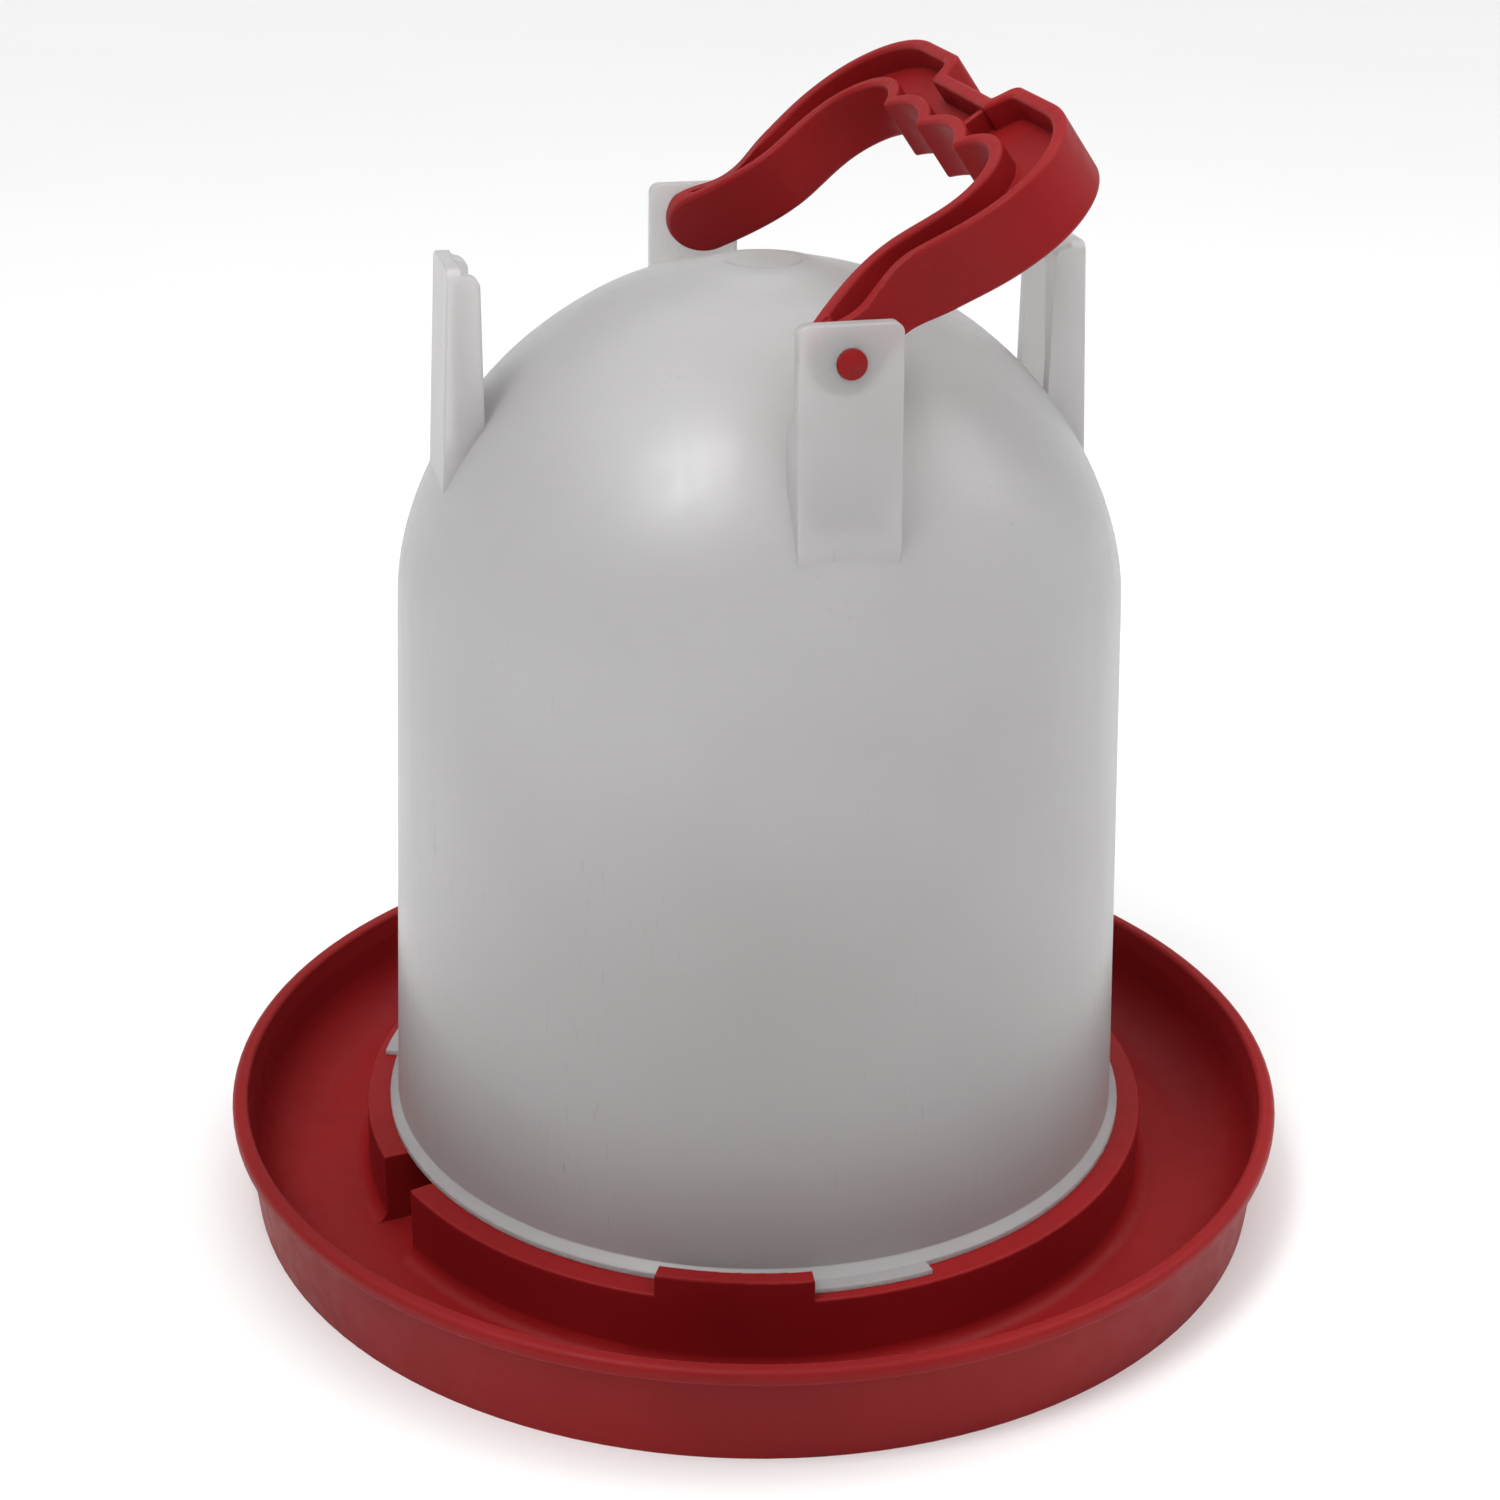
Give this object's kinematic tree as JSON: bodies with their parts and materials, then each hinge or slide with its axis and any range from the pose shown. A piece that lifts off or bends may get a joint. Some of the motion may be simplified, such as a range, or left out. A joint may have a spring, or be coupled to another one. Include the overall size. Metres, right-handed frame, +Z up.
{
  "type": "poultry drinker fount",
  "caption": "Gravity-fed poultry drinker: a translucent domed tank twist-locked onto a round red drinking tray, with a folding bow handle pinned between lugs on the dome.",
  "frame": {"origin": "on the tank's axis, in the plane of the tray's underside", "axes": "+Z up along the tank's axis; the handle's pivot axis lies along Y and the handle leans towards +X at rest"},
  "size_m": [0.296, 0.296, 0.3059],
  "materials": {
    "tray_plastic": "soft satin moulded polyethylene",
    "tank_plastic": "translucent natural polyethylene",
    "handle_plastic": "soft satin moulded polyethylene"
  },
  "bodies": {
    "tray": {"drinking_tray": "tray_plastic"},
    "tank": {"fount_tank": "tank_plastic"},
    "handle": {"carry_handle": "handle_plastic"}
  },
  "joints": [
    {"name": "tank_twist", "type": "hinge", "parent": "tray", "child": "tank", "pos_m": [0, 0, 0.0229], "axis": [0, 0, 1], "range_deg": [0, 22]},
    {"name": "handle_swing", "type": "hinge", "parent": "tank", "child": "handle", "pos_m": [0, 0, 0.2556], "axis": [0, 1, 0], "range_deg": [-146, 36]}
  ]
}
